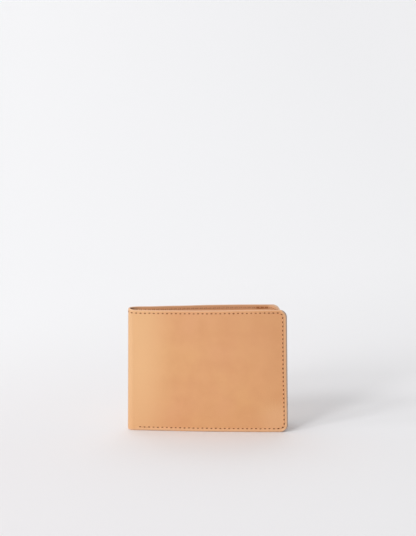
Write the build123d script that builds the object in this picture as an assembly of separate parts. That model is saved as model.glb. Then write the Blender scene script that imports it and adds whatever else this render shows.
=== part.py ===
from build123d import *
import math
import os

# Bifold wallet, folded shut and standing on its bottom edges.
# X runs from the fold (-X) to the free edges (+X), Y from the front half (-Y) to the back half (+Y).
# The origin is under the middle of the wallet, on the surface it stands on. All sizes in millimetres.

# Overall size, folded
WIDTH = 115.0                # outside of the fold to the front half's free edge
BACK_SHORT = 4.0             # the back half stops this far short of the front half: the fold is off centre
HEIGHT = 90.0                # bottom edge to top edge
FOLD_RADIUS = 4.3            # outside of the fold
EDGE_OUT_TOP = 8.4           # outer face at the free edge, from the middle plane, at the top
EDGE_OUT_BOTTOM = 15.2       # the same at the bottom, where the halves stand further apart
LEAVE_ANGLE_TOP = 7.4        # degrees between a cover and the middle plane where it leaves the fold
LEAVE_ANGLE_BOTTOM = 8.9
CORNER_RADIUS = 5.5          # free corners of the covers
HINGE_ANGLE = 45.0           # degrees round the fold, from its outermost line to each hinge line

# Thicknesses of the sewn layers
COVER_LEATHER = 1.2
LINING = 0.3
DIVIDER = 0.5
BACKING = 0.3
POCKET = 0.5

# Clearances
GLUE_GAP = 0.05              # between layers that lie on each other
NOTE_GAP = 0.35              # the empty note compartment, pressed flat
HINGE_GAP = 0.3              # between the leather on the two sides of a hinge line

# How far each inner layer stops short of the cover's edges
LINING_INSET = 0.4
DIVIDER_INSET = 0.6
DIVIDER_DROP = 2.8           # top of the divider below the top of the cover
BACKING_INSET = 0.8
BACKING_DROP = 0.8           # top of the card panel below the top of the divider

# Card pockets
CARD_LENGTH = 85.6
CARD_HEIGHT = 53.98
CARD_ROOM = 10.0             # a pocket between its seams is this much longer than a card
CARD_SHOW = 11.0             # a card's edge stands this far above its pocket
SLOT_STEP = 12.0             # from one pocket's top edge to the next
PANEL_CORNER = 2.0           # corners of the card panel on the side of the fold

# Seams
SEAM_INSET = 2.7             # from the free and top edges
SEAM_INSET_BOTTOM = 3.1
SEAM_STOP = 8.0              # the bottom seam ends this far from the outside of the fold
PANEL_SEAM_INSET = 2.5       # pocket seam from the card panel's inner edge
STITCH_PITCH = 3.15
STITCH_LENGTH = 2.3
THREAD_WIDTH = 0.5
THREAD_HEIGHT = 0.3
THREAD_LIFT = 0.1            # underside of a stitch above the leather
NORMAL_STEP = 1.0            # how far off a face the second point of its normal is taken

# Depths of the layers, measured inwards from the outer face
LINING_DEPTH = COVER_LEATHER + GLUE_GAP
DIVIDER_DEPTH = LINING_DEPTH + LINING + NOTE_GAP
BACKING_DEPTH = DIVIDER_DEPTH + DIVIDER + GLUE_GAP
POCKET_DEPTH = BACKING_DEPTH + BACKING + GLUE_GAP

# Places along X and Z
FOLD_X = -WIDTH / 2
FRONT_EDGE_X = WIDTH / 2
BACK_EDGE_X = FRONT_EDGE_X - BACK_SHORT
PANEL_LENGTH = SEAM_INSET + CARD_LENGTH + CARD_ROOM + PANEL_SEAM_INSET
LOWEST_POCKET_TOP = SEAM_INSET_BOTTOM + CARD_HEIGHT - CARD_SHOW
DIVIDER_TOP = HEIGHT - DIVIDER_DROP
BACKING_TOP = DIVIDER_TOP - BACKING_DROP

# Card pockets from the one against the panel to the one on top of the stack
POCKET_NAMES = ("upper", "middle", "lower")

OVERRUN = 2.0                # extra length of a layer before its outline is cut
REACH = EDGE_OUT_BOTTOM + EDGE_OUT_TOP    # depth of a cutting outline, more than a half's


class Section:
    """A half's outer face seen from above at one height: the fold, then one long arc to the free edge.
    Both halves are drawn on the back side, where Y is positive."""

    def __init__(self, height, edge_x, edge_out, leave_angle):
        self.leave = math.radians(leave_angle)
        self.fold_centre = Vector(FOLD_X + FOLD_RADIUS, 0, height)
        start = self.fold_centre + FOLD_RADIUS * normal_at(self.leave)
        end = Vector(edge_x, edge_out, height)
        chord = end - start
        half_turn = self.leave - math.atan2(chord.Y, chord.X)
        self.bow_radius = chord.length / (2 * math.sin(half_turn))
        self.bow_centre = start - self.bow_radius * normal_at(self.leave)
        self.fold_run = FOLD_RADIUS * (math.pi / 2 - self.leave)
        self.length = self.fold_run + self.bow_radius * 2 * half_turn

    def point(self, run, depth):
        """The point at a distance run along the outer face from the outside of the fold, depth inwards."""
        if run < self.fold_run:
            lean = math.pi / 2 - run / FOLD_RADIUS
            return self.fold_centre + (FOLD_RADIUS - depth) * normal_at(lean)
        lean = self.leave - (run - self.fold_run) / self.bow_radius
        return self.bow_centre + (self.bow_radius - depth) * normal_at(lean)

    def arc(self, first_run, last_run, depth):
        middle_run = (first_run + last_run) / 2
        ends = [self.point(run, depth) for run in (first_run, middle_run, last_run)]
        return Edge.make_three_point_arc(*ends)

    def folded_layer(self, depth, thickness):
        """A layer from the hinge line to past the free edge."""
        inner = depth + thickness
        end = self.length + OVERRUN
        return closed_face(
            self.arc(hinge_run(depth), self.fold_run, depth),
            self.arc(self.fold_run, end, depth),
            Edge.make_line(self.point(end, depth), self.point(end, inner)),
            self.arc(self.fold_run, end, inner),
            self.arc(hinge_run(inner), self.fold_run, inner),
            Edge.make_line(self.point(hinge_run(inner), inner), self.point(hinge_run(depth), depth)),
        )

    def flat_layer(self, depth, thickness):
        """A layer that starts beyond the fold."""
        inner = depth + thickness
        end = self.length + OVERRUN
        return closed_face(
            self.arc(self.fold_run, end, depth),
            Edge.make_line(self.point(end, depth), self.point(end, inner)),
            self.arc(self.fold_run, end, inner),
            Edge.make_line(self.point(self.fold_run, inner), self.point(self.fold_run, depth)),
        )


class Half:
    """The layers and stitches of one half. edge_x is the place of its free edge."""

    def __init__(self, edge_x):
        self.edge_x = edge_x
        self.panel_x = edge_x - BACKING_INSET - PANEL_LENGTH
        self.bottom = Section(0.0, edge_x, EDGE_OUT_BOTTOM, LEAVE_ANGLE_BOTTOM)
        self.top = Section(HEIGHT, edge_x, EDGE_OUT_TOP, LEAVE_ANGLE_TOP)

    def skin_point(self, run, height, depth):
        """A point of the half's leather. run is measured along the bottom section, and straight
        lines join each point of its fold and its long arc to the same share of the top section's."""
        bottom, top = self.bottom, self.top
        fold_share = min(run, bottom.fold_run) / bottom.fold_run
        arc_share = max(run - bottom.fold_run, 0) / (bottom.length + OVERRUN - bottom.fold_run)
        top_run = fold_share * top.fold_run + arc_share * (top.length + OVERRUN - top.fold_run)
        low = bottom.point(run, depth)
        high = top.point(top_run, depth)
        return low + (high - low) * (height / HEIGHT)

    def sheet(self, layer_face, cut):
        """A layer between the bottom section and the top one, cut to its outline."""
        return loft([layer_face(self.bottom), layer_face(self.top)], ruled=True) & cut

    def folded_sheet(self, depth, thickness, inset, top):
        """A layer that runs from the hinge line to the free edge."""
        radius = CORNER_RADIUS - inset
        cut = outline(FOLD_X, self.edge_x - inset, inset, top, (0, radius, radius, 0))
        return self.sheet(lambda section: section.folded_layer(depth, thickness), cut)

    def panel_sheet(self, depth, thickness, top, top_radii):
        """A layer of the card panel. top_radii are its corners at the free edge and at the fold."""
        radius = CORNER_RADIUS - BACKING_INSET
        right = self.edge_x - BACKING_INSET
        cut = outline(self.panel_x, right, BACKING_INSET, top, (PANEL_CORNER, radius, *top_radii))
        return self.sheet(lambda section: section.flat_layer(depth, thickness), cut)

    def cover(self):
        return self.folded_sheet(0.0, COVER_LEATHER, 0.0, HEIGHT)

    def cover_lining(self):
        return self.folded_sheet(LINING_DEPTH, LINING, LINING_INSET, HEIGHT - LINING_INSET)

    def bill_divider(self):
        return self.folded_sheet(DIVIDER_DEPTH, DIVIDER, DIVIDER_INSET, DIVIDER_TOP)

    def card_backing(self):
        top_radii = (CORNER_RADIUS - BACKING_INSET, PANEL_CORNER)
        return self.panel_sheet(BACKING_DEPTH, BACKING, BACKING_TOP, top_radii)

    def card_pocket(self, place):
        return self.panel_sheet(pocket_depth(place), POCKET, pocket_top(place), (0, 0))

    def stitch(self, face_depth, side, spot, along):
        """One stitch on a face of the leather, outside it where side is -1 and inside where it is 1.
        spot is its middle in run and height, and along is the seam's direction there."""
        depth = face_depth + side * THREAD_LIFT
        step = STITCH_LENGTH / 2
        ahead = self.skin_point(spot.X + along.X * step, spot.Y + along.Y * step, depth)
        behind = self.skin_point(spot.X - along.X * step, spot.Y - along.Y * step, depth)
        under = self.skin_point(spot.X, spot.Y, depth)
        over = self.skin_point(spot.X, spot.Y, depth + side * NORMAL_STEP)
        return stitch_block(Plane(origin=under, x_dir=ahead - behind, z_dir=over - under))

    def edge_row(self):
        """The edge seam's path in run and height: along the top, down the free edge and back underneath."""
        free_run = self.bottom.length - SEAM_INSET
        start = hinge_run(0.0) + (STITCH_PITCH - STITCH_LENGTH) / 2
        top = HEIGHT - SEAM_INSET
        return FilletPolyline(
            (start, top),
            (free_run, top),
            (free_run, SEAM_INSET_BOTTOM),
            (SEAM_STOP, SEAM_INSET_BOTTOM),
            radius=CORNER_RADIUS - SEAM_INSET,
        )

    def edge_thread(self):
        """The stitches of the edge seam that lie on the cover."""
        row = self.edge_row()
        count = int(row.length / STITCH_PITCH)
        places = [(number + 0.5) / count for number in range(count)]
        return [self.stitch(0.0, -1, row @ place, row % place) for place in places]

    def panel_thread(self):
        """The stitches that hold the pockets to the backing along the edge towards the fold."""
        bottom = self.bottom
        run = bottom.fold_run + self.panel_x + PANEL_SEAM_INSET - bottom.point(bottom.fold_run, 0).X
        low = BACKING_INSET + SEAM_INSET_BOTTOM
        count = int((BACKING_TOP - SEAM_INSET - low) / STITCH_PITCH)
        stitches = []
        for number in range(count):
            height = low + (number + 0.5) * STITCH_PITCH
            depth = panel_depth(height - STITCH_PITCH / 2, height + STITCH_PITCH / 2)
            stitches.append(self.stitch(depth, 1, Vector(run, height), Vector(0, 1)))
        return stitches

    def pieces(self):
        """The pieces of the half, by name without its side."""
        pieces = {
            "cover": [self.cover()],
            "cover_lining": [self.cover_lining()],
            "bill_divider": [self.bill_divider()],
            "card_backing": [self.card_backing()],
            "edge_thread": self.edge_thread(),
            "panel_thread": self.panel_thread(),
        }
        for place, name in enumerate(POCKET_NAMES):
            pieces[f"card_pocket_{name}"] = [self.card_pocket(place)]
        return pieces


def normal_at(lean):
    """The outward normal of a face on the back side that leans by this angle from the middle plane."""
    return Vector(-math.sin(lean), math.cos(lean), 0)


def hinge_gap_angle(depth):
    return math.asin(HINGE_GAP / 2 / (FOLD_RADIUS - depth))


def hinge_run(depth):
    """Where a layer of the cover starts, so that its end lies half the hinge gap from the hinge line."""
    return FOLD_RADIUS * (math.radians(HINGE_ANGLE) + hinge_gap_angle(depth))


def closed_face(*edges):
    return Face(Wire.combine(edges)[0])


def outline(left, right, low, high, radii):
    """A block with a layer's outline in XZ. radii go round from the low left corner, anticlockwise."""
    sketch = Pos((left + right) / 2, (low + high) / 2) * Rectangle(right - left, high - low)
    places = ((left, low, 0), (right, low, 0), (right, high, 0), (left, high, 0))
    for place, radius in zip(places, radii):
        if radius > 0:
            sketch = fillet(sketch.vertices().sort_by_distance(place)[0], radius)
    return extrude(Plane.XZ * sketch, amount=REACH, both=True)


def pocket_depth(place):
    """Depth of a card pocket's outer side, counted from the one against the backing."""
    return POCKET_DEPTH + place * (POCKET + GLUE_GAP)


def pocket_top(place):
    return LOWEST_POCKET_TOP + (len(POCKET_NAMES) - 1 - place) * SLOT_STEP


def panel_depth(low, high):
    """Depth of the card panel's innermost layer anywhere between two heights."""
    depth = BACKING_DEPTH + BACKING
    for place in range(len(POCKET_NAMES)):
        if low < pocket_top(place):
            depth = pocket_depth(place) + POCKET
    return depth


def stitch_block(lie):
    """The thread of one stitch, lying on a plane along its X."""
    return lie * Box(
        STITCH_LENGTH, THREAD_WIDTH, THREAD_HEIGHT, align=(Align.CENTER, Align.CENTER, Align.MIN)
    )


def fold_layer(depth, thickness, low, high):
    """A layer of the leather between the two hinge lines."""
    outer = FOLD_RADIUS - depth
    inner = outer - thickness
    centre = Vector(FOLD_X + FOLD_RADIUS, 0, low)
    outer_turn = math.radians(HINGE_ANGLE) - hinge_gap_angle(depth)
    inner_turn = math.radians(HINGE_ANGLE) - hinge_gap_angle(depth + thickness)

    def spot(radius, turn):
        return centre + radius * Vector(-math.cos(turn), math.sin(turn), 0)

    face = closed_face(
        Edge.make_three_point_arc(spot(outer, -outer_turn), spot(outer, 0), spot(outer, outer_turn)),
        Edge.make_line(spot(outer, outer_turn), spot(inner, inner_turn)),
        Edge.make_three_point_arc(spot(inner, inner_turn), spot(inner, 0), spot(inner, -inner_turn)),
        Edge.make_line(spot(inner, -inner_turn), spot(outer, -outer_turn)),
    )
    return extrude(face, amount=high - low, dir=(0, 0, 1))


def fold_thread():
    """The stitches of the top seam that lie on the fold, spread evenly between the hinge lines."""
    run = 2 * FOLD_RADIUS * math.radians(HINGE_ANGLE)
    count = max(1, round(run / STITCH_PITCH))
    pitch = run / count
    stitches = []
    for number in range(count):
        turn = (number + 0.5 - count / 2) * pitch / FOLD_RADIUS
        outward = Vector(-math.cos(turn), math.sin(turn), 0)
        origin = Vector(FOLD_X + FOLD_RADIUS, 0, HEIGHT - SEAM_INSET) + (FOLD_RADIUS + THREAD_LIFT) * outward
        stitches.append(
            stitch_block(Plane(origin=origin, x_dir=(math.sin(turn), math.cos(turn), 0), z_dir=outward))
        )
    return stitches


def fold_pieces():
    """The pieces between the two hinge lines."""
    lining_top = HEIGHT - LINING_INSET
    return {
        "fold_leather": [fold_layer(0.0, COVER_LEATHER, 0.0, HEIGHT)],
        "fold_lining": [fold_layer(LINING_DEPTH, LINING, LINING_INSET, lining_top)],
        "fold_bill_divider": [fold_layer(DIVIDER_DEPTH, DIVIDER, DIVIDER_INSET, DIVIDER_TOP)],
        "fold_thread": fold_thread(),
    }


def write(name, solids):
    shape = Compound(children=solids) if len(solids) > 1 else solids[0]
    shape.label = name
    export_step(shape, f"parts/{name}.step")


def main():
    os.makedirs("parts", exist_ok=True)
    for name, solids in Half(BACK_EDGE_X).pieces().items():
        write(f"back_{name}", solids)
    for name, solids in Half(FRONT_EDGE_X).pieces().items():
        write(f"front_{name}", [mirror(solid, about=Plane.XZ) for solid in solids])
    for name, solids in fold_pieces().items():
        write(name, solids)


main()
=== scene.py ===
import math

import bmesh
import bpy
import numpy as np
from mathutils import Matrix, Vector

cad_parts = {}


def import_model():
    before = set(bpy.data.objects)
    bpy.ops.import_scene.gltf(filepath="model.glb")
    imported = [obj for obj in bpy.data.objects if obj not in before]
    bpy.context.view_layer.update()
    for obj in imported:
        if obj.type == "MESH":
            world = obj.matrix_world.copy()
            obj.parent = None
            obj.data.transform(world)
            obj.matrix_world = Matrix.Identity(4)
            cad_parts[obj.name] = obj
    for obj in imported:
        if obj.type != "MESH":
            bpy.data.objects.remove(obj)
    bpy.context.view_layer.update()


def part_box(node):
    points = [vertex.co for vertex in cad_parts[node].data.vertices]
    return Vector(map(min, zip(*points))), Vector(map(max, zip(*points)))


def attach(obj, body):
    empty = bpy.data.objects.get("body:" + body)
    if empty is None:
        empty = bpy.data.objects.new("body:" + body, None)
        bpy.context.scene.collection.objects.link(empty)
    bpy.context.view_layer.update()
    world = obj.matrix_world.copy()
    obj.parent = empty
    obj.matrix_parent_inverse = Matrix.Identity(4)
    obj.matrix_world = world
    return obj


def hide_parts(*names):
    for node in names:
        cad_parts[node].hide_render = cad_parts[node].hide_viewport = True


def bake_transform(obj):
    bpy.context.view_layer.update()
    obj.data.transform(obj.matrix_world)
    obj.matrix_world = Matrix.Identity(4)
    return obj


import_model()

# Sizes below are in millimetres, as in the frame's own model; MM turns them into metres.
MM = 0.001
HALVES = ("front", "back")
OUT_OF_PLANE = {"front": -1, "back": 1}

# Overall shape
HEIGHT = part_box("front_cover")[1].z / MM
FOLD_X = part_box("fold_leather")[0].x / MM
EDGE_X = {half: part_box(f"{half}_cover")[1].x / MM for half in HALVES}
FOLD_RADIUS = 4.3
EDGE_OUT_TOP = 8.4          # how far each half's free edge stands from the middle, at its top
EDGE_OUT_BOTTOM = 15.2
LEAVE_ANGLE_TOP = 7.4       # degrees by which a half leaves the fold outwards, at its top
LEAVE_ANGLE_BOTTOM = 8.9
CORNER_RADIUS = 5.5
OVERRUN = 2.0               # how far past the free edge the top and bottom sections are still paired
TAPER = 0.011               # how much wider the wallet is at its bottom than at its top, as a share

# Unevenness of the leather
UNEVEN_SHIFT = {"front": 1.3, "back": 4.1}
UNEVEN_SLOW = 0.22
UNEVEN_QUICK = 0.06
UNEVEN_FROM, UNEVEN_FULLY = 9.0, 26.0

# The note compartment's inner wall, which stands off its cover at the open top
MOUTH = 0.25
GATHER = {"front": 0.4, "back": 1.2}
GATHER_FROM_EDGE = 15.5
GATHER_WIDTH = 6.5

# Layers, from the outer face inwards
COVER_LEATHER = 1.2
LINING = 0.3
DIVIDER = 0.5
BACKING = 0.3
POCKET = 0.5
GLUE_GAP = 0.05
NOTE_GAP = 0.35
LINING_DEPTH = COVER_LEATHER + GLUE_GAP
DIVIDER_DEPTH = LINING_DEPTH + LINING + NOTE_GAP
BACKING_DEPTH = DIVIDER_DEPTH + DIVIDER + GLUE_GAP
POCKET_DEPTH = BACKING_DEPTH + BACKING + GLUE_GAP

# Outlines of the inner layers
LINING_INSET = 0.4
LINING_CORNER = 7.5         # wider than the cover's corner, so that a little bare leather shows there
DIVIDER_INSET = 0.6
BACKING_INSET = 0.8
DIVIDER_TOP = HEIGHT - 2.8
BACKING_TOP = DIVIDER_TOP - 0.8
PANEL_CORNER = 2.0
POCKET_NAMES = ("upper", "middle", "lower")
POCKET_TOPS = [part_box(f"front_card_pocket_{name}")[1].z / MM for name in POCKET_NAMES]

# Seams
SEAM_INSET_TOP = 2.3
SEAM_INSET_SIDE = 3.2
SEAM_INSET_BOTTOM = 2.6
SEAM_TOP = HEIGHT - SEAM_INSET_TOP
SEAM_STOP = 10.2            # run at which the bottom seam ends, short of the fold
SEAM_RADIUS = 2.6
SEAM_DRIFT = 0.6            # how far the side seam drifts towards the free edge on its way down
DRIFT_WIDTH = 2.0
DRIFT_FROM, DRIFT_FULLY = 50.0, 8.0
PANEL_SEAM_INSET = 2.5
STITCH_PITCH = 3.15
CORNER_STEP = SEAM_RADIUS + 0.95      # from a seam's corner to the first hole on the straight
STEPS_PER_STITCH = 6
TACKED_AT_STOP = 2.5        # stitches that are sewn over again where the bottom seam ends
TACKED_AT_CORNER = (19.0, 9.5)        # from the free edge, where the top seam is sewn over again
GROOVE_DEPTH = 0.02
GROOVE_WIDTH = 0.75
ROLL_OFF = 0.2              # how far the leather rolls off beyond the seam
ROLL_OFF_SIDE = 0.03
PRESSED_IN = 0.3            # how far the cover is pressed in at the side seam
PRESSED_REACH = 16.0

# Needle holes. A sway is the difference from hole to hole, as waves of (amount, rate)
HOLE_LENGTH = 1.3
HOLE_WIDTH = 0.74
HOLE_RINGS = ((1.0, 0.01, 0.45), (0.85, 0.07, 1.0), (0.45, 0.25, 1.0))    # share of size, depth, darkness of the painted shade in the hole
HOLE_SHADE = 0.88
SIDE_HOLE_SHADE = 0.92
LENGTH_SWAY = ((0.18, 2.4), (0.14, 5.3))
WIDTH_SWAY = ((0.08, 3.7),)
SHADE_SWAY = ((0.12, 0.83),)
PLACE_SWAY = ((0.1, 4.1),)

# Stitches
THREAD_RADIUS = 0.23
STITCH_RISE = 0.3           # share of the radius by which a stitch's middle stands above the leather
STITCH_DIVE = 0.5
STITCH_THINNING = 0.3
STITCH_FLATNESS = 0.85
STITCH_LEAN = 0.10
STITCH_SINK = 0.07          # how deep the outer stitches lie in the cover
HOLE_CLEARANCE = 0.05
WALL_CLEARANCE = 0.3        # a stitch this far below the note wall's top edge still passes above it
TACK_SHIFT = 0.14           # the second row of a tacked seam lies beside the first
TWIST_DEPTH = 0.12
TWIST_TURN = 2.6
TWIST_STEP = 1.7
DARK_FROM = {1: 0.56, -1: 0.3}        # share of a stitch where painted shade starts to darken it towards its holes, outside and inside; the inside stitches lie in shade and darken sooner
DARK_FADE = 0.2
AROUND = 8                  # points round a stitch
ALONG = 9                   # rings along it

# Edges
COVER_EDGE = 0.75
UNDER_EDGE = 0.2
THIN_EDGE = 0.2
RIM_REACH = 1.5             # how far in the pale rim reaches, in edge roundings
LOW_RIM_SHARE = 0.6         # at the bottom the pale rim reaches further in, by one over this, as painted light bounced up from the floor
SIDE_REACH = 4.2            # how far in from the free edge its painted highlight and painted shade reach
AT_FOLD_EDGE = 0.45         # share of the edge's rounding that is left at the fold
NEAR = 0.01                 # grid lines this near to each other are the same one


# ---------------------------------------------------------------- the leather's shape
class Section:
    """The outer face of a half seen from above at one height: the fold, then one long arc."""

    def __init__(self, edge_x, edge_out, leave_angle):
        self.leave = math.radians(leave_angle)
        centre_x = FOLD_X + FOLD_RADIUS
        start = (centre_x - FOLD_RADIUS * math.sin(self.leave), FOLD_RADIUS * math.cos(self.leave))
        chord = (edge_x - start[0], edge_out - start[1])
        half_turn = self.leave - math.atan2(chord[1], chord[0])
        self.radius = math.hypot(*chord) / (2 * math.sin(half_turn))
        self.centre = (
            start[0] + self.radius * math.sin(self.leave),
            start[1] - self.radius * math.cos(self.leave),
        )
        self.fold_run = FOLD_RADIUS * (math.pi / 2 - self.leave)
        self.length = self.fold_run + self.radius * 2 * half_turn

    def point(self, run, depth):
        """x and y of the points at these distances along the outer face, depth inwards."""
        in_fold = run < self.fold_run
        lean = np.where(
            in_fold,
            math.pi / 2 - run / FOLD_RADIUS,
            self.leave - (run - self.fold_run) / self.radius,
        )
        radius = np.where(in_fold, FOLD_RADIUS, self.radius) - depth
        x = np.where(in_fold, FOLD_X + FOLD_RADIUS, self.centre[0]) - radius * np.sin(lean)
        y = np.where(in_fold, 0.0, self.centre[1]) + radius * np.cos(lean)
        return x, y


def smooth(low, high, value):
    """0 at low, 1 at high, and a smooth rise between them."""
    t = np.clip((value - low) / (high - low), 0.0, 1.0)
    return t * t * (3 - 2 * t)


def bell(value, middle, width):
    """1 at the middle, falling off smoothly to both sides."""
    return np.exp(-(((value - middle) / width) ** 2))


def sway(number, waves):
    """The difference that the waves make to one hole of a seam."""
    return sum(amount * math.sin(rate * number) for amount, rate in waves)


def square_off(value):
    """Pushes a point of the unit circle outwards, towards a rounded square."""
    return math.copysign(abs(value) ** 0.75, value)


class Half:
    """One half of the wallet. Its layers are drawn in run, the distance along the outer face from the
    fold's outermost line, height, and depth inwards from the outer face."""

    def __init__(self, name):
        self.name = name
        self.side = OUT_OF_PLANE[name]
        self.edge_x = EDGE_X[name]
        self.bottom = Section(self.edge_x, EDGE_OUT_BOTTOM, LEAVE_ANGLE_BOTTOM)
        self.top = Section(self.edge_x, EDGE_OUT_TOP, LEAVE_ANGLE_TOP)
        self.length = self.bottom.length
        panel_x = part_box(f"{name}_card_backing")[0].x / MM
        start_x = float(self.bottom.point(np.array(self.bottom.fold_run), 0.0)[0])
        self.panel_run = self.bottom.fold_run + panel_x - start_x
        self.seam_right = self.length - SEAM_INSET_SIDE
        last_hole = self.seam_right - CORNER_STEP
        self.stitches_along = round(last_hole / STITCH_PITCH)
        self.pitch = last_hole / (self.stitches_along - 0.5)

    def unevenness(self, run, height):
        """How far the leather lies inwards of its drawn face: a few tenths of a millimetre."""
        shift = UNEVEN_SHIFT[self.name]
        slow = np.sin(run / 17.0 + shift) * np.sin(height / 23.0 + 2 * shift)
        quick = np.sin(run / 7.3 + 3 * shift + height / 31.0) * np.sin(height / 11.0 + shift)
        return smooth(UNEVEN_FROM, UNEVEN_FULLY, run) * (UNEVEN_SLOW * slow + UNEVEN_QUICK * quick)

    def sag(self, run, height):
        """How far the top edge dips below straight."""
        near_top = smooth(0.55 * HEIGHT, HEIGHT, height) * smooth(0.0, 8.0, run)
        if self.name == "front":
            dip = 0.58
            rise_past_middle = 0.16 * smooth(55.0, 90.0, run)
            dip_at_corner = 0.25 * smooth(103.0, 114.0, run)
            return near_top * (dip - rise_past_middle + dip_at_corner)
        dip_in_middle = 0.12 * bell(run, 44.0, 9.0)
        rise_at_fold = 0.25 * bell(run, 9.0, 7.0)
        return near_top * (dip_in_middle - rise_at_fold)

    def mouth(self, run, height):
        """How far the note compartment's inner wall stands off the cover towards its open top."""
        wide = smooth(12.0, 30.0, run) * smooth(self.length - 5.0, self.length - 20.0, run)
        gather = bell(run, self.length - GATHER_FROM_EDGE, GATHER_WIDTH)
        rise = smooth(0.45 * HEIGHT, HEIGHT, height) ** 1.5
        return (MOUTH * wide + GATHER[self.name] * gather) * rise

    def skin(self, run, height, depth, inner=False):
        """Points of the half in metres. The card panel's side of the note compartment is inner."""
        run, height = np.asarray(run, float), np.asarray(height, float)
        drift = SEAM_DRIFT * smooth(DRIFT_FROM, DRIFT_FULLY, height) * smooth(0.0, 3.0, height)
        run = run + drift * bell(run, self.seam_right, DRIFT_WIDTH)
        depth = depth + self.unevenness(run, height)
        if inner:
            depth = depth + self.mouth(run, height)
        bottom, top = self.bottom, self.top
        fold_share = np.minimum(run, bottom.fold_run) / bottom.fold_run
        arc_share = np.maximum(run - bottom.fold_run, 0) / (bottom.length + OVERRUN - bottom.fold_run)
        top_run = fold_share * top.fold_run + arc_share * (top.length + OVERRUN - top.fold_run)
        low_x, low_y = bottom.point(run, depth)
        high_x, high_y = top.point(top_run, depth)
        share = height / HEIGHT
        x = (low_x + (high_x - low_x) * share) * (1 + TAPER * (0.5 - share))
        y = low_y + (high_y - low_y) * share
        z = np.maximum(height - self.sag(run, height), 0.0)
        return np.stack([x, self.side * y, z], axis=-1) * MM


# ---------------------------------------------------------------- meshes
def make_object(name, points, faces, rest, shades):
    """A smooth mesh object. For the materials rest keeps each point's run, depth and height, and shades
    its nearness to a cut edge (rim), to the free edge (side) and to a needle hole (hole)."""
    used = np.zeros(len(points), bool)
    used[np.concatenate([np.asarray(face) for face in faces])] = True
    place = np.cumsum(used) - 1
    faces = [[int(place[corner]) for corner in face] for face in faces]
    mesh = bpy.data.meshes.new(name)
    mesh.from_pydata(points[used].tolist(), [], faces)
    mesh.update()
    values = mesh.attributes.new("rest", "FLOAT_VECTOR", "POINT")
    values.data.foreach_set("vector", rest[used].astype(np.float32).ravel())
    for key, given in shades.items():
        values = mesh.attributes.new(key, "FLOAT", "POINT")
        values.data.foreach_set("value", given[used].astype(np.float32))
    work = bmesh.new()
    work.from_mesh(mesh)
    bmesh.ops.recalc_face_normals(work, faces=work.faces)
    work.to_mesh(mesh)
    work.free()
    mesh.polygons.foreach_set("use_smooth", np.ones(len(mesh.polygons), bool))
    mesh.set_sharp_from_angle(angle=math.radians(50))
    ob = bpy.data.objects.new(name, mesh)
    bpy.context.scene.collection.objects.link(ob)
    return ob


def rounding(start, way, radius):
    """Grid lines round an edge, close together where the edge turns most."""
    turns = np.linspace(0.0, math.pi / 2, 5)
    return [start + way * radius * (1 - math.cos(turn)) for turn in turns]


def join_lines(stops, step):
    """Evenly spaced grid lines between each two stops."""
    found = [stops[0]]
    for first, last in zip(stops, stops[1:]):
        count = max(1, round((last - first) / step))
        found += list(np.linspace(first, last, count + 1)[1:])
    return np.array(found)


def sheet_lines(low, high, radius, stops=(), step=1.2, round_low=True):
    """Grid lines of a sheet from one edge to the other."""
    first = rounding(low, 1, radius) if round_low else [low]
    last = rounding(high, -1, radius)[::-1]
    middle = join_lines([first[-1], *stops, last[0]], step)
    return np.concatenate([first[:-1], middle, last[1:]])


def round_corners(run, height, box, radii):
    """Moves the grid points of a rectangle so that its corners are round. radii go round from the low
    left corner, anticlockwise."""
    left, right, low, high = box
    run, height = run.copy(), height.copy()
    corners = ((left, low, 1, 1), (right, low, -1, 1), (right, high, -1, -1), (left, high, 1, -1))
    for (corner_run, corner_height, way_run, way_height), radius in zip(corners, radii):
        if radius <= 0:
            continue
        centre_run = corner_run + way_run * radius
        centre_height = corner_height + way_height * radius
        a = (centre_run - run) * way_run
        b = (centre_height - height) * way_height
        inside = (a > 1e-9) & (b > 1e-9)
        scale = np.where(inside, np.maximum(a, b) / np.maximum(np.hypot(a, b), 1e-9), 1.0)
        run = np.where(inside, centre_run - way_run * a * scale, run)
        height = np.where(inside, centre_height - way_height * b * scale, height)
    return run, height


def hole_loop(row, column, rows, columns):
    """The grid points round a hole, with the angle at which the hole sees each of them."""
    corners = [(-rows, -columns), (-rows, columns), (rows, columns), (rows, -columns)]
    loop, turns = [], []
    for side, (corner, following) in enumerate(zip(corners, corners[1:] + corners[:1])):
        steps = max(abs(following[0] - corner[0]), abs(following[1] - corner[1]))
        for step in range(steps):
            share = step / steps
            spot = [round(a + (b - a) * share) for a, b in zip(corner, following)]
            loop.append((row + spot[0], column + spot[1]))
            turns.append((side + share) * math.pi / 2 - 0.75 * math.pi)
    return loop, turns


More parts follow.
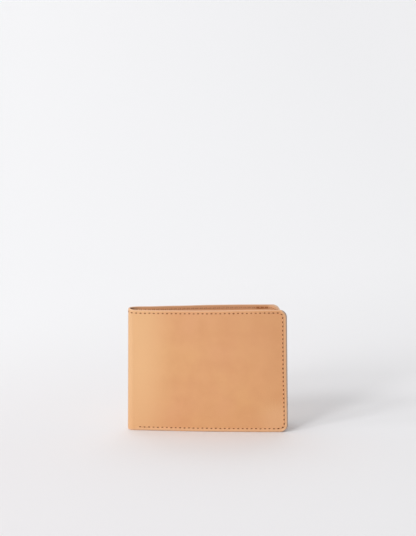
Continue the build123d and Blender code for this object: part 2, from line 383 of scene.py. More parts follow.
class Sheet:
    """A sheet of leather or cloth between two depths, with rounded edges and corners."""

    def __init__(self, half, depth, thickness, run_lines, height_lines, radii, edge, at_fold, inner):
        self.half, self.inner = half, inner
        box = (run_lines[0], run_lines[-1], height_lines[0], height_lines[-1])
        run, height = np.meshgrid(run_lines, height_lines)
        insets = [box[1] - run, height - box[2], box[3] - height]
        if not at_fold:
            insets.append(run - box[0])
        self.inset = np.minimum.reduce(insets)
        self.run, self.height = round_corners(run, height, box, radii)
        self.outer = depth + self.sink(edge)
        self.under = depth + thickness - self.sink(min(edge, UNDER_EDGE))
        # at the bottom the pale rim widens as painted light bounced up from the floor
        wider_low = np.minimum(self.inset, LOW_RIM_SHARE * (height - box[2]))
        self.rim = np.clip(1.0 - wider_low / (RIM_REACH * edge), 0.0, 1.0)
        near_free_edge = smooth(box[1] - CORNER_RADIUS, box[1] - 0.5 * CORNER_RADIUS, run)
        self.side = near_free_edge * np.clip(1.0 - self.inset / SIDE_REACH, 0.0, 1.0)
        self.cut = np.ones((run.shape[0] - 1, run.shape[1] - 1), bool)
        self.extra, self.extra_faces = [], []

    def sink(self, radius):
        """How far a face falls away where the edge is rounded."""
        beyond = np.clip(radius - self.inset, 0.0, radius)
        return radius - np.sqrt(np.maximum(radius**2 - beyond**2, 0.0))

    def add_hole(self, row, column, rows, columns, along, longest, number):
        """Opens the outer face round a grid point, by these rows and columns each way, and fills it with
        a needle hole, longer along the seam, whose direction is an angle in run and height."""
        loop, turns = hole_loop(row, column, rows, columns)
        self.cut[row - rows : row + rows, column - columns : column + columns] = False
        middle = (self.run[row, column], self.height[row, column], self.outer[row, column])
        first = len(self.extra)
        count = len(loop)
        length = min(HOLE_LENGTH * (1.0 + sway(number, LENGTH_SWAY)), longest)
        width = HOLE_WIDTH * (1.0 + sway(number, WIDTH_SWAY))
        on_side_seam = along > math.radians(60)
        faint = (HOLE_SHADE + sway(number, SHADE_SWAY)) * (SIDE_HOLE_SHADE if on_side_seam else 1.0)
        slip = sway(number, PLACE_SWAY)
        # each ring's darkness is painted shade in the hole
        for share, deeper, dark in HOLE_RINGS:
            for turn in turns:
                forward = share * length / 2 * square_off(math.cos(turn - along))
                sideways = share * width / 2 * square_off(math.sin(turn - along)) + slip
                self.extra.append(
                    (
                        middle[0] + forward * math.cos(along) - sideways * math.sin(along),
                        middle[1] + forward * math.sin(along) + sideways * math.cos(along),
                        middle[2] + deeper,
                        dark * faint,
                    )
                )
        row_length = self.run.shape[1]
        grid = [spot[0] * row_length + spot[1] for spot in loop]
        rings = [grid]
        for ring in range(len(HOLE_RINGS)):
            rings.append([-(first + ring * count + corner) - 1 for corner in range(count)])
        for outside, inside in zip(rings, rings[1:]):
            for corner in range(count):
                following = (corner + 1) % count
                self.extra_faces.append(
                    [outside[corner], outside[following], inside[following], inside[corner]]
                )
        self.extra_faces.append(rings[-1])

    def build(self, name):
        """The sheet as an object: its outer face, its inner face, the band between them and its holes."""
        rows, columns = self.run.shape
        total = rows * columns
        index = np.arange(total).reshape(rows, columns)
        quads = np.stack([index[:-1, :-1], index[:-1, 1:], index[1:, 1:], index[1:, :-1]], -1)
        around = np.concatenate([index[0, :-1], index[:-1, -1], index[-1, :0:-1], index[:0:-1, 0]])
        after = np.roll(around, -1)
        band = np.stack([after, around, around + total, after + total], -1)
        faces = quads[self.cut].tolist() + (quads.reshape(-1, 4)[:, ::-1] + total).tolist() + band.tolist()
        for face in self.extra_faces:
            faces.append([corner if corner >= 0 else 2 * total - corner - 1 for corner in face])
        extra = np.array(self.extra) if self.extra else np.zeros((0, 4))
        run = np.concatenate([self.run.ravel(), self.run.ravel(), extra[:, 0]])
        height = np.concatenate([self.height.ravel(), self.height.ravel(), extra[:, 1]])
        depth = np.concatenate([self.outer.ravel(), self.under.ravel(), extra[:, 2]])
        shades = {
            "rim": np.concatenate([self.rim.ravel(), self.rim.ravel(), np.zeros(len(extra))]),
            "side": np.concatenate([self.side.ravel(), self.side.ravel(), np.zeros(len(extra))]),
            "hole": np.concatenate([np.zeros(2 * total), extra[:, 3]]),
        }
        points = self.half.skin(run, height, depth, self.inner)
        return make_object(name, points, faces, np.stack([run, depth, height], -1), shades)


def folded_sheet(half, depth, thickness, inset, top, edge, radius, inner=False):
    """A layer that runs from the fold's outermost line to the free edge."""
    runs = sheet_lines(0.0, half.length - inset, edge, round_low=False)
    heights = sheet_lines(inset, top, edge)
    return Sheet(half, depth, thickness, runs, heights, (0, radius, radius, 0), edge, True, inner)


def panel_sheet(half, depth, thickness, top, top_radii):
    """A layer of the card panel."""
    edge = min(THIN_EDGE, thickness * 0.4)
    runs = sheet_lines(half.panel_run, half.length - BACKING_INSET, edge)
    heights = sheet_lines(BACKING_INSET, top, edge)
    radii = (PANEL_CORNER, CORNER_RADIUS - BACKING_INSET, *top_radii)
    return Sheet(half, depth, thickness, runs, heights, radii, edge, False, True)


# ---------------------------------------------------------------- seams
def seam_holes(half):
    """Needle holes of the edge seam in run and height, from the fold along the top, down the free
    edge and back along the bottom."""
    right = half.seam_right
    column_low = SEAM_INSET_BOTTOM + CORNER_STEP
    column_high = SEAM_TOP - CORNER_STEP
    count = round((column_high - column_low) / STITCH_PITCH)
    turn = SEAM_RADIUS * (1 - math.sqrt(0.5))
    holes = [((number + 0.5) * half.pitch, SEAM_TOP) for number in range(half.stitches_along)]
    holes.append((right - turn, SEAM_TOP - turn))
    holes += [(right, height) for height in np.linspace(column_high, column_low, count + 1)]
    holes.append((right - turn, SEAM_INSET_BOTTOM + turn))
    for number in range(half.stitches_along - 1, -1, -1):
        if (number + 0.5) * half.pitch > SEAM_STOP:
            holes.append(((number + 0.5) * half.pitch, SEAM_INSET_BOTTOM))
    return holes


def tack_holes(half):
    """Holes half a stitch along, where the seam was sewn over again at its end and near the corner."""
    found = []
    for number in range(half.stitches_along):
        run = number * half.pitch
        if SEAM_STOP < run < SEAM_STOP + TACKED_AT_STOP * half.pitch:
            found.append((run, SEAM_INSET_BOTTOM))
        if half.length - TACKED_AT_CORNER[0] < run < half.length - TACKED_AT_CORNER[1]:
            found.append((run, SEAM_TOP))
    return found


def innermost(half, run, height):
    """Depth of the innermost surface at a place of a half."""
    if height > DIVIDER_TOP - WALL_CLEARANCE:
        return LINING_DEPTH + LINING
    depth = DIVIDER_DEPTH + DIVIDER
    if run > half.panel_run and height < BACKING_TOP:
        depth = BACKING_DEPTH + BACKING
        for place, top in enumerate(POCKET_TOPS):
            if height < top:
                depth = POCKET_DEPTH + place * (POCKET + GLUE_GAP) + POCKET
    return depth


def stitch_tube(start, end, outward, face_depth, number):
    """Run, height and depth of a stitch: out of one hole, along the leather and into the next."""
    middle = ((start[0] + end[0]) / 2, (start[1] + end[1]) / 2)
    span = math.hypot(end[0] - start[0], end[1] - start[1])
    way = ((end[0] - start[0]) / span, (end[1] - start[1]) / span)
    turn = np.linspace(0, 2 * math.pi, AROUND, endpoint=False)[None, :]
    share = np.linspace(-1, 1, ALONG)[:, None]
    rise = THREAD_RADIUS * STITCH_RISE - STITCH_DIVE * np.abs(share) ** 5
    thick = THREAD_RADIUS * (1.0 - STITCH_THINNING * share**4)
    twist = 1 + TWIST_DEPTH * np.cos(2 * (turn - TWIST_TURN * share) + TWIST_STEP * number)
    along = share * (span / 2 - HOLE_CLEARANCE) + 0 * turn
    sideways = thick * np.cos(turn) * twist + STITCH_LEAN * outward * share
    upward = rise + thick * np.sin(turn) * twist * STITCH_FLATNESS
    runs = middle[0] + way[0] * along - way[1] * sideways
    heights = middle[1] + way[1] * along + way[0] * sideways
    dark_from = DARK_FROM[outward]
    # painted shade towards the stitch's ends, where it dives into its holes
    shade = smooth(dark_from, dark_from + DARK_FADE, np.abs(share)) + 0 * turn
    return runs, heights, face_depth - outward * upward, shade


def tube_faces(first):
    """Faces of a stitch whose points start at this one."""
    faces = []
    for ring in range(ALONG - 1):
        for corner in range(AROUND):
            following = (corner + 1) % AROUND
            a = first + ring * AROUND + corner
            b = first + ring * AROUND + following
            faces.append((a, b, b + AROUND, a + AROUND))
    faces.append(tuple(first + corner for corner in range(AROUND - 1, -1, -1)))
    last = first + (ALONG - 1) * AROUND
    faces.append(tuple(last + corner for corner in range(AROUND)))
    return faces


def sew(name, half, placed):
    """One object of many stitches. placed lists (start, end, outward, face depth, on an inner layer)."""
    points, rests, shades, faces = [], [], [], []
    for number, (start, end, outward, face_depth, inner) in enumerate(placed):
        runs, heights, depths, shade = stitch_tube(start, end, outward, face_depth, number)
        points.append(half.skin(runs, heights, depths, inner).reshape(-1, 3))
        rests.append(np.stack([runs, depths, heights], -1).reshape(-1, 3))
        shades.append(shade.ravel())
        faces += tube_faces(number * AROUND * ALONG)
    shades = {"hole": np.concatenate(shades)}
    return make_object(name, np.concatenate(points), faces, np.concatenate(rests), shades)


def seam_relief(half, run, height, inset):
    """How far the seam pulls the outer face in, and how the leather rolls off beyond it."""
    right = half.seam_right
    sewn = smooth(SEAM_STOP - 1.5, SEAM_STOP + 0.5, run)
    along_top = bell(height, SEAM_TOP, GROOVE_WIDTH)
    along_bottom = bell(height, SEAM_INSET_BOTTOM, GROOVE_WIDTH) * sewn
    along_side = bell(run, right, GROOVE_WIDTH)
    groove = np.maximum.reduce([along_top, along_bottom, along_side])
    beyond = np.clip(1.0 - inset / SEAM_INSET_TOP, 0.0, 1.0)
    pressed = smooth(right - PRESSED_REACH, right, run)
    roll = ROLL_OFF + (ROLL_OFF_SIDE - ROLL_OFF) * smooth(right - 2.0, right + 1.0, run)
    return GROOVE_DEPTH * groove + roll * beyond**2 + PRESSED_IN * pressed


# ---------------------------------------------------------------- materials
def srgb(red, green, blue):
    """A colour written as sRGB from 0 to 255, in Blender's linear values."""
    values = []
    for channel in (red, green, blue):
        share = channel / 255
        values.append(share / 12.92 if share <= 0.04045 else ((share + 0.055) / 1.055) ** 2.4)
    return (*values, 1.0)


class Nodes:
    """Short ways to add and join a material's nodes."""

    def __init__(self, name):
        self.material = bpy.data.materials.new(name)
        self.material.use_nodes = True
        self.tree = self.material.node_tree
        self.shader = self.tree.nodes["Principled BSDF"]

    def put(self, socket, value):
        """Sets a socket to a value, or links it to another node's output."""
        if isinstance(value, bpy.types.NodeSocket):
            self.tree.links.new(value, socket)
        else:
            socket.default_value = value

    def attribute(self, name, output):
        node = self.tree.nodes.new("ShaderNodeAttribute")
        node.attribute_name = name
        return node.outputs[output]

    def noise(self, where, scale=1.0, detail=3.0, roughness=0.5):
        node = self.tree.nodes.new("ShaderNodeTexNoise")
        given = {"Vector": where, "Scale": scale, "Detail": detail, "Roughness": roughness}
        for key, value in given.items():
            self.put(node.inputs[key], value)
        return node.outputs["Fac"]

    def patches(self, where, scale=1.0, detail=3.0, roughness=0.5, low=0.0, high=1.0):
        """Soft patches, 0 where the noise is below low and 1 where it is above high."""
        return self.ramp(self.noise(where, scale, detail, roughness), low, high)

    def cells(self, where, scale, feature="F1"):
        node = self.tree.nodes.new("ShaderNodeTexVoronoi")
        node.feature = feature
        self.put(node.inputs["Vector"], where)
        self.put(node.inputs["Scale"], scale)
        return node.outputs["Distance"]

    def stretch(self, where, scale):
        """The coordinates, scaled differently along run, depth and height."""
        node = self.tree.nodes.new("ShaderNodeVectorMath")
        node.operation = "MULTIPLY"
        self.put(node.inputs[0], where)
        node.inputs[1].default_value = scale
        return node.outputs["Vector"]

    def part(self, where, axis):
        """One of the coordinates: 0 is run, 1 is depth and 2 is height."""
        node = self.tree.nodes.new("ShaderNodeSeparateXYZ")
        self.put(node.inputs[0], where)
        return node.outputs[axis]

    def ramp(self, value, low, high, to_low=0.0, to_high=1.0, smoothly=False):
        node = self.tree.nodes.new("ShaderNodeMapRange")
        if smoothly:
            node.interpolation_type = "SMOOTHSTEP"
        self.put(node.inputs["Value"], value)
        limits = {"From Min": low, "From Max": high, "To Min": to_low, "To Max": to_high}
        for key, limit in limits.items():
            self.put(node.inputs[key], limit)
        return node.outputs["Result"]

    def mix(self, share, first, second):
        node = self.tree.nodes.new("ShaderNodeMix")
        node.data_type = "RGBA"
        self.put(node.inputs["Factor"], share)
        colours = [socket for socket in node.inputs if socket.type == "RGBA"]
        self.put(colours[0], first)
        self.put(colours[1], second)
        return next(socket for socket in node.outputs if socket.type == "RGBA")

    def tint(self, colour, towards, share, strength=1.0):
        """The colour mixed towards another one by a share between 0 and 1."""
        return self.mix(self.math("MULTIPLY", share, strength), colour, towards)

    def math(self, operation, *values):
        node = self.tree.nodes.new("ShaderNodeMath")
        node.operation = operation
        for socket, value in zip(node.inputs, values):
            self.put(socket, value)
        return node.outputs[0]

    def bump(self, height, distance, normal=None):
        node = self.tree.nodes.new("ShaderNodeBump")
        node.inputs["Distance"].default_value = distance
        self.put(node.inputs["Height"], height)
        if normal is not None:
            self.put(node.inputs["Normal"], normal)
        return node.outputs["Normal"]


# Painted shade: the brown of the needle holes and of the stitches' ends where they dive into them
PAINTED_SHADE_BROWN = srgb(124, 58, 0)

# Where the outside leather changes colour, as runs, heights or depths in millimetres
# Painted highlight: paler beside the fold, which faces the lamps
BESIDE_FOLD_RUNS = (11.0, 40.0)
# Painted sheen: the fold's outermost line is paler and greyer
CROWN_RUNS = (1.5, 7.5)
# Painted shade: darker towards the free edge
SHADED_FREE_SIDE_RUNS = (60.0, 112.0)
PALE_CORNER_RUNS = (92.0, 110.0)
SEWN_RUNS = (SEAM_STOP - 3.0, SEAM_STOP)
# Painted shade: darker towards the bottom
SHADED_LOWER_HEIGHTS = (45.0, 0.0)
PALE_CORNER_HEIGHTS = (28.0, 12.0)
# Painted light bounced from the floor: paler between the bottom seam and the bottom edge
BOUNCE_BELOW_SEAM_HEIGHTS = (3.3, 2.3)
# Painted shade along the foot, where the leather meets the floor
FOOT_HEIGHTS = (1.2, 0.3)
ROUGH_DEPTHS = (0.85 * COVER_LEATHER, 0.97 * COVER_LEATHER)

# Where the pale edge, the painted highlight beyond the side seam and the painted shade on the free edge
# begin and where they are complete, as shares of nearness to an edge
RIM_SHARES = (0.1, 0.75)
HIGHLIGHT_STRIP_SHARES = (0.07, 0.24)
EDGE_SHADE_SHARES = (0.636, 0.871)

# Where the lining changes colour. Its top strip is the part that shows above the note compartment
# Painted shade: the lining is greyed inside the fold
IN_FOLD_RUNS = (3.0, 13.0)
NEAR_EDGE_RUNS = (104.0, 108.0)
# Painted shadow of the note compartment's dark mouth, on the lining's top strip
SLIT_SHADOW_START_RUNS = (95.0, 97.5)
SLIT_SHADOW_END_RUNS = (106.5, 104.5)
SLIT_SHADOW_HEIGHTS = (HEIGHT - 1.3, HEIGHT - 1.8)
TOP_STRIP_HEIGHTS = (HEIGHT - 3.6, HEIGHT - 3.2)
WEAVE_PERIOD = 0.42


def painted_light_and_shade(n, where, colour, dark, outside):
    """The outside leather with painted light and shade: a painted highlight beside the fold, painted sheen
    on the fold's outermost line, painted shade towards the free edge and the bottom, painted light bounced
    from the floor below the bottom seam and a painted highlight beyond the side seam. It is also paler at
    its lower free corner."""
    run, _, height = (n.part(where, axis) for axis in range(3))
    painted_highlight_beside_fold = n.ramp(run, *BESIDE_FOLD_RUNS, 1.0, 0.0, smoothly=True)
    crown = n.ramp(run, *CROWN_RUNS, 1.0, 0.0, smoothly=True)
    right = n.ramp(run, *PALE_CORNER_RUNS, smoothly=True)
    low = n.ramp(height, *PALE_CORNER_HEIGHTS, smoothly=True)
    bounce_below_seam = n.math("MULTIPLY", n.ramp(height, *BOUNCE_BELOW_SEAM_HEIGHTS), n.ramp(run, *SEWN_RUNS))
    # painted highlight beside the fold
    colour = n.mix(painted_highlight_beside_fold, colour, outside["painted_highlight_beside_fold"])
    # painted sheen on the fold's outermost line
    colour = n.mix(crown, colour, outside["painted_sheen_fold_crown"])
    # painted shade towards the free edge
    colour = n.tint(colour, dark, n.ramp(run, *SHADED_FREE_SIDE_RUNS), 0.45)
    # painted shade towards the bottom
    colour = n.tint(colour, dark, n.ramp(height, *SHADED_LOWER_HEIGHTS), 0.3)
    colour = n.tint(colour, outside["pale"], n.math("MULTIPLY", right, low), 0.33)
    # painted light bounced up from the floor
    colour = n.tint(colour, outside["pale"], bounce_below_seam, 0.5)
    # painted highlight on the strip beyond the side seam
    highlight_beyond_side_seam = n.ramp(n.attribute("side", "Fac"), *HIGHLIGHT_STRIP_SHARES)
    return n.tint(colour, outside["pale"], highlight_beyond_side_seam, 0.3)


def cut_edges(n, where, colour, outside):
    """The outside leather's foot and free edge, darkened with painted shade, and its rough inner side."""
    _, depth, height = (n.part(where, axis) for axis in range(3))
    # painted shade on the free edge, which faces away from the lamps
    edge_shade = n.ramp(n.attribute("side", "Fac"), *EDGE_SHADE_SHARES, 0.0, 0.85, smoothly=True)
    # painted shade along the foot
    colour = n.tint(colour, outside["foot"], n.ramp(height, *FOOT_HEIGHTS), 0.5)
    colour = n.mix(edge_shade, colour, outside["free_edge"])
    return n.mix(n.ramp(depth, *ROUGH_DEPTHS), colour, outside["rough_side"])


def leather(name, base, dark, light, pink, edge, outside=None):
    """Waxed leather: soft clouds of colour, fine pores and wrinkles, pale edges, and needle holes darkened
    with painted shade; outside, painted light and shade besides. Scales are per millimetre."""
    n = Nodes(name)
    where = n.attribute("rest", "Vector")
    tall = n.stretch(where, (0.045, 0.045, 0.03))
    clouds = n.patches(where, scale=0.022, detail=2.0, roughness=0.4, low=0.36, high=0.66)
    warmth = n.patches(tall, detail=2.0, roughness=0.4, low=0.42, high=0.7)
    blotches = n.patches(where, scale=0.075, low=0.38, high=0.68)
    speckle = n.patches(where, scale=1.4, detail=2.0, roughness=0.6, low=0.35, high=0.75)
    colour = n.mix(clouds, base, light)
    colour = n.tint(colour, pink, warmth, 0.5)
    colour = n.tint(colour, dark, blotches, 0.4)
    colour = n.tint(colour, dark, speckle, 0.08)
    if outside:
        colour = painted_light_and_shade(n, where, colour, dark, outside)
    colour = n.tint(colour, edge, n.ramp(n.attribute("rim", "Fac"), *RIM_SHARES), 0.85)
    if outside:
        colour = cut_edges(n, where, colour, outside)
    # painted shade in the needle holes
    colour = n.mix(n.attribute("hole", "Fac"), colour, PAINTED_SHADE_BROWN)
    n.put(n.shader.inputs["Base Color"], colour)
    polish = n.noise(where, scale=0.9, roughness=0.6)
    n.put(n.shader.inputs["Roughness"], n.ramp(polish, 0.3, 0.7, to_low=0.46, to_high=0.62))
    n.shader.inputs["Specular IOR Level"].default_value = 0.28
    n.shader.inputs["Sheen Weight"].default_value = 0.12
    n.shader.inputs["Sheen Roughness"].default_value = 0.35
    pores = n.ramp(n.cells(where, 2.4), 0.0, 0.45)
    grain = n.cells(n.stretch(where, (1.0, 1.0, 1.25)), 1.7, "SMOOTH_F1")
    wrinkles = n.noise(where, detail=5.0, roughness=0.62)
    normal = n.bump(pores, 0.02 * MM)
    normal = n.bump(grain, 0.03 * MM, normal)
    normal = n.bump(wrinkles, 0.07 * MM, normal)
    n.put(n.shader.inputs["Normal"], normal)
    return n.material


def weave(n, where):
    """The height of a plain weave, from 0 to 1."""
    waves = []
    for axis in (0, 2):
        turn = n.math("MULTIPLY", n.part(where, axis), 2 * math.pi / WEAVE_PERIOD)
        waves.append(n.math("SINE", turn))
    return n.ramp(n.math("MULTIPLY", *waves), -1.0, 1.0)


def woven(name, base, dark, in_fold, near_edge, painted_slit_shadow):
    """Fine plain-woven cotton, greyed with painted shade in the fold. Its strip above the note compartment
    is paler near the free edge, with a painted shadow of the compartment's dark mouth beside that."""
    n = Nodes(name)
    where = n.attribute("rest", "Vector")
    run, _, height = (n.part(where, axis) for axis in range(3))
    threads = weave(n, where)
    slub = n.stretch(where, (0.12, 1.0, 2.2))
    colour = n.tint(base, dark, threads, 0.3)
    colour = n.tint(colour, dark, n.patches(where, scale=0.06, low=0.35, high=0.7), 0.2)
    colour = n.tint(colour, dark, n.patches(slub, detail=2.0, low=0.5, high=0.8), 0.2)
    # painted shade inside the fold
    colour = n.mix(n.ramp(run, *IN_FOLD_RUNS, 1.0, 0.0, smoothly=True), colour, in_fold)
    top_strip = n.ramp(height, *TOP_STRIP_HEIGHTS)
    colour = n.tint(colour, near_edge, n.ramp(run, *NEAR_EDGE_RUNS), top_strip)
    # painted shadow of the note compartment's mouth
    slit_shadow = n.math("MULTIPLY", n.ramp(run, *SLIT_SHADOW_START_RUNS), n.ramp(run, *SLIT_SHADOW_END_RUNS))
    slit_shadow = n.math("MULTIPLY", slit_shadow, n.ramp(height, *SLIT_SHADOW_HEIGHTS))
    colour = n.tint(colour, painted_slit_shadow, slit_shadow, top_strip)
    n.put(n.shader.inputs["Base Color"], colour)
    n.shader.inputs["Roughness"].default_value = 0.85
    n.shader.inputs["Specular IOR Level"].default_value = 0.15
    n.put(n.shader.inputs["Normal"], n.bump(threads, 0.04 * MM))
    return n.material


def sewing_thread():
    """Waxed thread in the leather's colour, darkened brown with painted shade where it dives into the
    needle holes.
    """
    n = Nodes("sewing_thread")
    where = n.attribute("rest", "Vector")
    fibres = n.noise(n.stretch(where, (5.0, 9.0, 5.0)), detail=2.0, roughness=0.6)
    worn = n.patches(where, scale=0.6, detail=1.0, low=0.4, high=0.7)
    colour = n.mix(fibres, srgb(224, 168, 122), srgb(242, 190, 146))
    colour = n.tint(colour, srgb(204, 146, 98), worn, 0.3)
    # painted shade where the thread dives into the needle holes
    colour = n.mix(n.attribute("hole", "Fac"), colour, PAINTED_SHADE_BROWN)
    n.put(n.shader.inputs["Base Color"], colour)
    n.shader.inputs["Roughness"].default_value = 0.55
    n.shader.inputs["Specular IOR Level"].default_value = 0.3
    n.put(n.shader.inputs["Normal"], n.bump(fibres, 0.03 * MM))
    return n.material


OUTER_LEATHER = leather(
    "outer_leather",
    base=srgb(224, 166, 118),
    dark=srgb(213, 152, 104),
    light=srgb(226, 171, 118),
    pink=srgb(225, 164, 121),
    edge=srgb(230, 184, 146),
    outside={
        # painted highlight beside the fold
        "painted_highlight_beside_fold": srgb(231, 181, 131),
        # painted sheen on the fold's outermost line
        "painted_sheen_fold_crown": srgb(217, 173, 130),
        # pale tone of the painted highlight and bounce light, and of the lower free corner
        "pale": srgb(241, 193, 147),
        # painted shade along the foot
        "foot": srgb(206, 154, 112),
        # painted shade on the free edge
        "free_edge": srgb(176, 156, 143),
        "rough_side": srgb(232, 199, 170),
    },
)
INNER_LEATHER = leather(
    "inner_leather",
    base=srgb(222, 166, 121),
    dark=srgb(210, 150, 106),
    light=srgb(226, 172, 126),
    pink=srgb(221, 163, 124),
    edge=srgb(204, 152, 112),
)
LINING_CLOTH = woven(
    "lining_cloth",
    base=srgb(228, 177, 136),
    dark=srgb(201, 146, 105),
    # painted shade inside the fold
    in_fold=srgb(172, 134, 110),
    near_edge=srgb(240, 192, 150),
    # painted shadow of the note compartment's mouth
    painted_slit_shadow=srgb(194, 130, 84),
)
THREAD = sewing_thread()


# ---------------------------------------------------------------- pieces
def finish_piece(ob, material, slot, *nodes):
    """Gives a piece its material and hides the CAD nodes that it stands for. Its slot is not used."""
    ob.data.materials.append(material)
    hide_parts(*nodes)


def bend(ob):
    """Bakes the piece's transform into its mesh."""
    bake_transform(ob)


def with_fold(half, node, fold_node):
    """The nodes that a folded piece stands for. The front half's pieces answer for the fold's nodes."""
    return [f"{half.name}_{node}"] + ([fold_node] if half.name == "front" else [])


def cover(half):
    """The outer leather of a half, from the fold's outermost line, with its seam's needle holes."""
    step = half.pitch / STEPS_PER_STITCH
    low_hole = SEAM_INSET_BOTTOM + CORNER_STEP
    high_hole = SEAM_TOP - CORNER_STEP
    rows = round((high_hole - low_hole) / STITCH_PITCH)
    row_stops = list(np.linspace(low_hole, high_hole, rows + 1))
    run_stops = [half.pitch / 2 * count for count in range(1, 2 * half.stitches_along)]
    run_stops.append(half.seam_right)
    runs = sheet_lines(0.0, half.length, COVER_EDGE, run_stops, step, round_low=False)
    heights = sheet_lines(0.0, HEIGHT, COVER_EDGE, [SEAM_INSET_BOTTOM, *row_stops, SEAM_TOP], step)
    radii = (0, CORNER_RADIUS, CORNER_RADIUS, 0)
    leaf = Sheet(half, 0.0, COVER_LEATHER, runs, heights, radii, COVER_EDGE, True, False)
    leaf.outer *= AT_FOLD_EDGE + (1 - AT_FOLD_EDGE) * smooth(2.0, 14.0, leaf.run)
    leaf.outer += seam_relief(half, leaf.run, leaf.height, leaf.inset)
    holes = seam_holes(half)
    for number, spot in enumerate(holes + tack_holes(half)):
        away = np.hypot(leaf.run - spot[0], leaf.height - spot[1])
        row, column = np.unravel_index(np.argmin(away), away.shape)
        on_column = abs(runs[column] - half.seam_right) < NEAR
        on_row = min(abs(heights[row] - SEAM_TOP), abs(heights[row] - SEAM_INSET_BOTTOM)) < NEAR
        slope = math.radians(45) if heights[row] < HEIGHT / 2 else math.radians(-45)
        along = slope if on_column and on_row else math.radians(90) * on_column
        reach = 2 if number < len(holes) else 1
        across = 2 if on_column and on_row else 1
        reaches = (reach, across) if on_column else (across, reach)
        longest = 1.9 * reach * step
        leaf.add_hole(row, column, *reaches, along, longest, number)
    ob = leaf.build(f"{half.name}_cover_leather")
    finish_piece(ob, OUTER_LEATHER, "outer_leather", *with_fold(half, "cover", "fold_leather"))
    bend(ob)


def lining(half):
    """The cloth on the inside of the outer leather."""
    top = HEIGHT - LINING_INSET
    leaf = folded_sheet(half, LINING_DEPTH, LINING, LINING_INSET, top, LINING * 0.4, LINING_CORNER)
    ob = leaf.build(f"{half.name}_lining")
    finish_piece(ob, LINING_CLOTH, "lining", *with_fold(half, "cover_lining", "fold_lining"))
    bend(ob)


def note_wall(half):
    """The inner wall of the note compartment."""
    radius = CORNER_RADIUS - DIVIDER_INSET
    leaf = folded_sheet(
        half, DIVIDER_DEPTH, DIVIDER, DIVIDER_INSET, DIVIDER_TOP, THIN_EDGE, radius, inner=True
    )
    ob = leaf.build(f"{half.name}_note_wall")
    finish_piece(ob, INNER_LEATHER, "inner_leather", *with_fold(half, "bill_divider", "fold_bill_divider"))
    bend(ob)


def card_panel(half):
    """The card panel's backing and its three stepped pockets."""
    body = f"{half.name}_half"
    corner = CORNER_RADIUS - BACKING_INSET
    leaf = panel_sheet(half, BACKING_DEPTH, BACKING, BACKING_TOP, (corner, PANEL_CORNER))
    ob = leaf.build(f"{half.name}_card_panel")
    finish_piece(ob, LINING_CLOTH, "lining", f"{half.name}_card_backing")
    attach(ob, body)
    for place, (name, top) in enumerate(zip(POCKET_NAMES, POCKET_TOPS)):
        depth = POCKET_DEPTH + place * (POCKET + GLUE_GAP)
        ob = panel_sheet(half, depth, POCKET, top, (0, 0)).build(f"{half.name}_{name}_card_pocket")
        finish_piece(ob, INNER_LEATHER, "inner_leather", f"{half.name}_card_pocket_{name}")
        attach(ob, body)


def edge_stitching(half):
    """The edge seam's stitches, outside and inside. The front half's also cross the fold's middle."""
    holes = seam_holes(half)
    if half.name == "front":
        holes.insert(0, (-half.pitch / 2, SEAM_TOP))
    pairs = list(zip(holes, holes[1:]))
    for run, height in tack_holes(half):
        beside = height + TACK_SHIFT
        pairs.append(((run - half.pitch / 2, beside), (run + half.pitch / 2, beside)))
    placed = []
    for start, end in pairs:
        placed.append((start, end, 1, STITCH_SINK, False))
        middle = ((start[0] + end[0]) / 2, (start[1] + end[1]) / 2)
        depth = innermost(half, *middle)
        placed.append((start, end, -1, depth, depth > LINING_DEPTH + LINING))
    ob = sew(f"{half.name}_edge_stitching", half, placed)
    finish_piece(ob, THREAD, "thread", *with_fold(half, "edge_thread", "fold_thread"))
    bend(ob)


def pocket_stitching(half):
    """The seam that holds the card panel at its edge towards the fold."""
    low = BACKING_INSET + SEAM_INSET_BOTTOM
    high = BACKING_TOP - SEAM_INSET_TOP
    holes = np.linspace(low, high, round((high - low) / STITCH_PITCH) + 1)
    run = half.panel_run + PANEL_SEAM_INSET
    placed = []
    for below, above in zip(holes, holes[1:]):
        depth = max(innermost(half, run, below), innermost(half, run, above))
        placed.append(((run, above), (run, below), -1, depth, True))
    ob = sew(f"{half.name}_pocket_stitching", half, placed)
    finish_piece(ob, THREAD, "thread", f"{half.name}_panel_thread")
    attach(ob, f"{half.name}_half")


for half_name in HALVES:
    built = Half(half_name)
    cover(built)
    lining(built)
    note_wall(built)
    card_panel(built)
    edge_stitching(built)
    pocket_stitching(built)


# ---------------------------------------------------------------- floor, lights and camera
FLOOR_REACH = 8.0
FAR_SLANT = -0.6
WORLD_STRENGTH = 0.24

# Name, azimuth, elevation and spread in degrees, and strength. A broad lamp in front on the fold's side,
# as four overlapping ones, and wide ones behind and above. These numbers were not chosen by hand: another
# program picked the eight lamps and their strengths, by a least-squares fit to the photo's brightness
LAMPS = (
    ("key_light_left", -55, 30, 14, 0.764),
    ("key_light_far_left", -78, 22, 14, 0.344),
    ("key_light_low", -35, 20, 14, 0.908),
    ("key_light_high", -35, 35, 14, 0.282),
    ("back_light", 180, 40, 50, 0.664),
    ("back_light_left", -130, 40, 50, 0.414),
    ("back_light_right", 130, 40, 50, 0.17),
    ("top_light", 0, 88, 40, 0.55),
)


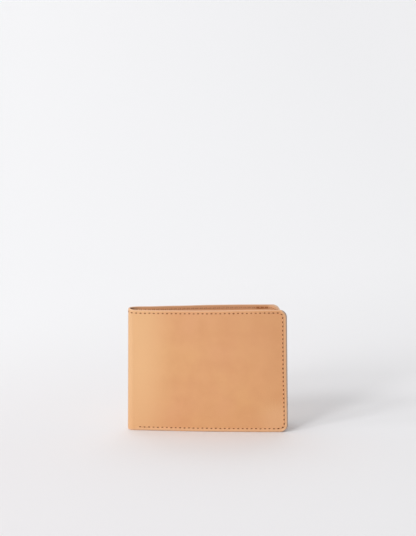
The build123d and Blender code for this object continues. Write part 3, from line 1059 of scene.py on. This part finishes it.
def floor():
    """A wide sheet of pale paper with painted light and shade: a little brighter far behind the wallet,
    and darker towards the right.
    """
    n = Nodes("studio_floor")
    place = n.tree.nodes.new("ShaderNodeTexCoord").outputs["Object"]
    # painted light far behind the wallet and painted shade towards the right
    slanted = n.math("MULTIPLY", n.part(place, 0), FAR_SLANT)
    far = n.ramp(n.math("ADD", n.part(place, 1), slanted), 0.0, 0.5, smoothly=True)
    right = n.ramp(n.part(place, 0), -0.15, 0.25)
    near = n.mix(right, srgb(239, 237, 239), srgb(234, 234, 236))
    colour = n.mix(far, near, n.mix(right, srgb(248, 248, 250), srgb(241, 241, 243)))
    n.put(n.shader.inputs["Base Color"], colour)
    n.shader.inputs["Roughness"].default_value = 0.9
    n.shader.inputs["Specular IOR Level"].default_value = 0.1
    mesh = bpy.data.meshes.new("studio_floor")
    signs = ((-1, -1), (1, -1), (1, 1), (-1, 1))
    corners = [(FLOOR_REACH * x, FLOOR_REACH * y, 0) for x, y in signs]
    mesh.from_pydata(corners, [], [(0, 1, 2, 3)])
    mesh.materials.append(n.material)
    ob = bpy.data.objects.new("studio_floor", mesh)
    bpy.context.scene.collection.objects.link(ob)


def world(strength):
    """Even white light from everywhere."""
    made = bpy.data.worlds.new("studio")
    made.use_nodes = True
    background = made.node_tree.nodes["Background"]
    background.inputs["Color"].default_value = (1.0, 1.0, 1.0, 1.0)
    background.inputs["Strength"].default_value = strength
    bpy.context.scene.world = made


def direction(azimuth, elevation):
    """The way from the wallet to a lamp or the camera. Azimuth 0 is in front, 90 at the free edges."""
    a, e = math.radians(azimuth), math.radians(elevation)
    return Vector((math.sin(a) * math.cos(e), -math.cos(a) * math.cos(e), math.sin(e)))


def soft_light(name, azimuth, elevation, spread, strength):
    """A distant lamp, as soft as a large diffuser."""
    lamp = bpy.data.lights.new(name, "SUN")
    lamp.energy = strength
    lamp.angle = math.radians(spread)
    ob = bpy.data.objects.new(name, lamp)
    bpy.context.scene.collection.objects.link(ob)
    ob.rotation_mode = "QUATERNION"
    ob.rotation_quaternion = direction(azimuth, elevation).to_track_quat("Z", "Y")


def camera():
    """A long lens a little to the fold's side and above, with the wallet low in a tall picture. Its
    numbers began as a least-squares fit to outline points of the photo."""
    distance, focal_pixels = 2.5, 3445.0
    right_pixels, down_pixels = -0.68, 99.8
    long_side_pixels, sensor = 536.0, 36.0
    back = direction(-2.35, 13.62)
    right = (-back).cross(Vector((0, 0, 1))).normalized()
    up = right.cross(-back)
    forward = (-back * focal_pixels - right * right_pixels + up * down_pixels).normalized()
    data = bpy.data.cameras.new("camera")
    data.sensor_width = sensor
    data.lens = focal_pixels * sensor / long_side_pixels
    data.clip_start, data.clip_end = 0.1, 50.0
    ob = bpy.data.objects.new("camera", data)
    bpy.context.scene.collection.objects.link(ob)
    ob.location = Vector((0, 0, HEIGHT / 2 * MM)) + back * distance
    ob.rotation_mode = "QUATERNION"
    ob.rotation_quaternion = forward.to_track_quat("-Z", "Y")
    bpy.context.scene.camera = ob


floor()
world(WORLD_STRENGTH)
for lamp in LAMPS:
    soft_light(*lamp)
camera()
bpy.context.scene.view_settings.view_transform = "Standard"
